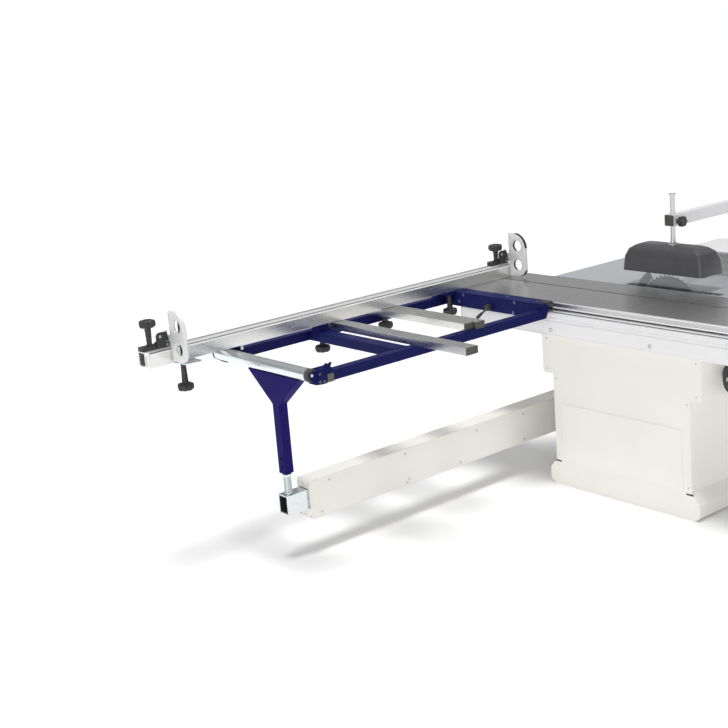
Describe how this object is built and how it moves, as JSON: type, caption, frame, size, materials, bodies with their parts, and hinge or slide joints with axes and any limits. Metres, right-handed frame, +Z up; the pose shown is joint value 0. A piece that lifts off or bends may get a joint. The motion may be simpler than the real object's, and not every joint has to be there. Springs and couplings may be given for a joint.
{
  "type": "sliding table panel saw",
  "caption": "Floor-standing panel saw: cabinet, sliding carriage, outrigger table with crosscut fence and flip stops, swing arm, rip fence and tilting blade unit.",
  "frame": {"origin": "centre of the cabinet's footprint on the floor", "axes": "+X from the outrigger side towards the rip fence side, +Y the feed direction of the carriage, +Z up"},
  "size_m": [3.432, 2.096, 1.276],
  "materials": {
    "cream_paint": "smooth semi-gloss powder coat",
    "navy_paint": "semi-gloss powder coat",
    "zinc_plate": "bright zinc plating",
    "anodised_aluminium": "fine brushed, clear anodised",
    "machined_cast_iron": "ground face",
    "pale_sheet": "semi-gloss",
    "black_plastic": "fine grained",
    "cast_grey": "satin",
    "ground_steel": "ground",
    "belt_rubber": "matte",
    "guard_plastic": "satin",
    "green_plastic": "gloss",
    "red_plastic": "gloss"
  },
  "bodies": {
    "machine": {"cabinet_base": "cream_paint", "cabinet_left_panel": "cream_paint", "cabinet_front_panel": "cream_paint", "cabinet_rear_panel": "cream_paint", "dust_port": "black_plastic", "guide_beam": "anodised_aluminium", "arm_hinge_bracket": "navy_paint", "main_table": "machined_cast_iron", "extension_table": "pale_sheet", "rip_rail": "ground_steel", "trunnion_guides": "cast_grey", "guard_mast": "navy_paint", "control_box": "pale_sheet"},
    "carriage": {"carriage_profile": "anodised_aluminium", "outrigger_channel": "navy_paint", "outrigger_long_tubes": "navy_paint", "outrigger_cross_tubes": "navy_paint", "fence_pivot_block": "navy_paint", "support_bars": "anodised_aluminium", "end_caps": "black_plastic", "roller_brackets": "navy_paint", "support_post": "navy_paint", "post_foot": "zinc_plate"},
    "cage": {"roller_cage": "ground_steel"},
    "end_roller": {"support_roller": "zinc_plate"},
    "brace_clamp": {"brace_knob": "black_plastic"},
    "bar_clamp": {"support_bar_knob": "black_plastic"},
    "pivot_clamp": {"fence_pivot_knob": "black_plastic"},
    "frame_lever": {"frame_clamp_lever": "black_plastic"},
    "crosscut_fence": {"fence_profile": "anodised_aluminium", "fence_clamp_plate": "zinc_plate"},
    "extension": {"fence_extension": "anodised_aluminium"},
    "extension_clamp": {"extension_lock_knob": "black_plastic"},
    "left_stop": {"left_stop_base": "black_plastic"},
    "left_flip": {"left_stop_plate": "zinc_plate"},
    "left_clamp": {"left_stop_knob": "black_plastic"},
    "right_stop": {"right_stop_base": "black_plastic"},
    "right_flip": {"right_stop_plate": "zinc_plate"},
    "right_clamp": {"right_stop_knob": "black_plastic"},
    "arm": {"swing_arm": "cream_paint"},
    "inner_tube": {"arm_tube": "zinc_plate"},
    "rip_fence": {"rip_fence_body": "cast_grey"},
    "rip_face": {"rip_fence_face": "anodised_aluminium"},
    "rip_lever": {"rip_fence_lever": "black_plastic"},
    "cradle": {"saw_cradle": "cast_grey"},
    "arbor": {"arbor_unit": "cast_grey", "main_motor": "cast_grey", "riving_knife": "ground_steel", "drive_belt": "belt_rubber"},
    "blade_shaft": {"main_arbor": "ground_steel", "saw_blade": "ground_steel"},
    "scoring_shaft": {"scoring_blade": "ground_steel"},
    "motor_shaft": {"motor_pulley": "cast_grey"},
    "boom": {"guard_boom": "pale_sheet"},
    "hood": {"guard_hood": "guard_plastic"},
    "tilt_wheel": {"tilt_handwheel": "black_plastic"},
    "height_wheel": {"height_handwheel": "black_plastic"},
    "start": {"start_button": "green_plastic"},
    "stop": {"stop_button": "red_plastic"},
    "door": {"cabinet_door": "cream_paint"}
  },
  "joints": [
    {"name": "carriage_slide", "type": "slide", "parent": "machine", "child": "carriage", "axis": [0, 1, 0], "range_m": [-0.95, 0.95]},
    {"name": "cage_roll", "type": "slide", "parent": "machine", "child": "cage", "axis": [0, 1, 0], "range_m": [-0.476, 0.476]},
    {"name": "arm_swing", "type": "hinge", "parent": "machine", "child": "arm", "pos_m": [-0.02, 0.624, 0.2365], "axis": [0, 0, 1], "range_deg": [-30.2, 30.2]},
    {"name": "arm_extend", "type": "slide", "parent": "arm", "child": "inner_tube", "axis": [-1, 0, 0], "range_m": [0, 0.256]},
    {"name": "roller_spin", "type": "hinge", "parent": "carriage", "child": "end_roller", "pos_m": [-1.702, 0.65, 0.833], "axis": [0, 1, 0], "continuous": true},
    {"name": "brace_knob_turn", "type": "hinge", "parent": "carriage", "child": "brace_clamp", "pos_m": [-1.209, 0.907, 0.76], "axis": [0, 0, 1], "continuous": true},
    {"name": "bar_knob_turn", "type": "hinge", "parent": "carriage", "child": "bar_clamp", "pos_m": [-0.845, 0.907, 0.79], "axis": [0, 0, 1], "continuous": true},
    {"name": "pivot_knob_turn", "type": "hinge", "parent": "carriage", "child": "pivot_clamp", "pos_m": [-0.448, 0.907, 0.79], "axis": [0, 0, 1], "continuous": true},
    {"name": "frame_lever_turn", "type": "hinge", "parent": "carriage", "child": "frame_lever", "pos_m": [-0.44, 0.659, 0.81], "axis": [1, 0, 0], "range_deg": [-60, 60]},
    {"name": "fence_swivel", "type": "hinge", "parent": "carriage", "child": "crosscut_fence", "pos_m": [-0.448, 0.907, 0.87], "axis": [0, 0, 1], "range_deg": [0, 45]},
    {"name": "fence_extend", "type": "slide", "parent": "crosscut_fence", "child": "extension", "axis": [-1, 0, 0], "range_m": [0, 0.45]},
    {"name": "extension_knob_turn", "type": "hinge", "parent": "crosscut_fence", "child": "extension_clamp", "pos_m": [-1.912, 0.907, 0.8], "axis": [0, 0, 1], "continuous": true},
    {"name": "left_stop_slide", "type": "slide", "parent": "extension", "child": "left_stop", "axis": [1, 0, 0], "range_m": [0, 0.8]},
    {"name": "left_plate_flip", "type": "hinge", "parent": "left_stop", "child": "left_flip", "pos_m": [-1.966, 0.892, 0.955], "axis": [1, 0, 0], "range_deg": [-95, 0]},
    {"name": "left_knob_turn", "type": "hinge", "parent": "left_stop", "child": "left_clamp", "pos_m": [-2.052, 0.909, 1], "axis": [0, 0, 1], "continuous": true},
    {"name": "right_stop_slide", "type": "slide", "parent": "crosscut_fence", "child": "right_stop", "axis": [1, 0, 0], "range_m": [-0.8, 0]},
    {"name": "right_plate_flip", "type": "hinge", "parent": "right_stop", "child": "right_flip", "pos_m": [-0.06, 0.892, 0.955], "axis": [1, 0, 0], "range_deg": [-95, 0]},
    {"name": "right_knob_turn", "type": "hinge", "parent": "right_stop", "child": "right_clamp", "pos_m": [-0.129, 0.909, 1], "axis": [0, 0, 1], "continuous": true},
    {"name": "rip_fence_slide", "type": "slide", "parent": "machine", "child": "rip_fence", "axis": [1, 0, 0], "range_m": [-0.2, 0.62]},
    {"name": "rip_face_slide", "type": "slide", "parent": "rip_fence", "child": "rip_face", "axis": [0, 1, 0], "range_m": [-0.25, 0.15]},
    {"name": "rip_lever_lift", "type": "hinge", "parent": "rip_fence", "child": "rip_lever", "pos_m": [0.512, -0.514, 0.794], "axis": [1, 0, 0], "range_deg": [-80, 0]},
    {"name": "saw_tilt", "type": "hinge", "parent": "machine", "child": "cradle", "pos_m": [0.095, 0.06, 0.86], "axis": [0, 1, 0], "range_deg": [0, 45]},
    {"name": "saw_rise", "type": "slide", "parent": "cradle", "child": "arbor", "axis": [0, 0, 1], "range_m": [-0.07, 0.025]},
    {"name": "blade_spin", "type": "hinge", "parent": "arbor", "child": "blade_shaft", "pos_m": [0.095, 0.06, 0.7625], "axis": [1, 0, 0], "continuous": true},
    {"name": "scoring_spin", "type": "hinge", "parent": "arbor", "child": "scoring_shaft", "pos_m": [0.095, -0.157, 0.8005], "axis": [1, 0, 0], "continuous": true},
    {"name": "motor_spin", "type": "hinge", "parent": "arbor", "child": "motor_shaft", "pos_m": [0.25, 0.06, 0.4775], "axis": [1, 0, 0], "continuous": true},
    {"name": "boom_swing", "type": "hinge", "parent": "machine", "child": "boom", "pos_m": [1.255, 0.06, 1.16], "axis": [0, 0, 1], "range_deg": [-85, 85]},
    {"name": "hood_slide", "type": "slide", "parent": "boom", "child": "hood", "axis": [0, 0, 1], "range_m": [-0.066, 0.075]},
    {"name": "tilt_wheel_turn", "type": "hinge", "parent": "machine", "child": "tilt_wheel", "pos_m": [-0.18, -0.46, 0.61], "axis": [0, 1, 0], "range_deg": [-1, 1351]},
    {"name": "height_wheel_turn", "type": "hinge", "parent": "machine", "child": "height_wheel", "pos_m": [0.17, -0.46, 0.58], "axis": [0, 1, 0], "range_deg": [-1261, 451]},
    {"name": "start_press", "type": "slide", "parent": "machine", "child": "start", "axis": [0, 1, 0], "range_m": [0, 0.004], "stiffness_N_per_m": 600},
    {"name": "stop_press", "type": "slide", "parent": "machine", "child": "stop", "axis": [0, 1, 0], "range_m": [0, 0.004], "stiffness_N_per_m": 600},
    {"name": "door_swing", "type": "hinge", "parent": "machine", "child": "door", "pos_m": [0.348, 0.364, 0.4], "axis": [0, 0, 1], "range_deg": [0, 110]}
  ],
  "couplings": [
    {"joint": "cage_roll", "follows": "carriage_slide", "ratio": 0.5},
    {"joint": "arm_swing", "follows": "carriage_slide", "rad_per_m": -0.553},
    {"joint": "motor_spin", "follows": "blade_spin", "ratio": 0.7},
    {"joint": "tilt_wheel_turn", "follows": "saw_tilt", "ratio": 30},
    {"joint": "height_wheel_turn", "follows": "saw_rise", "rad_per_m": 314.16}
  ]
}
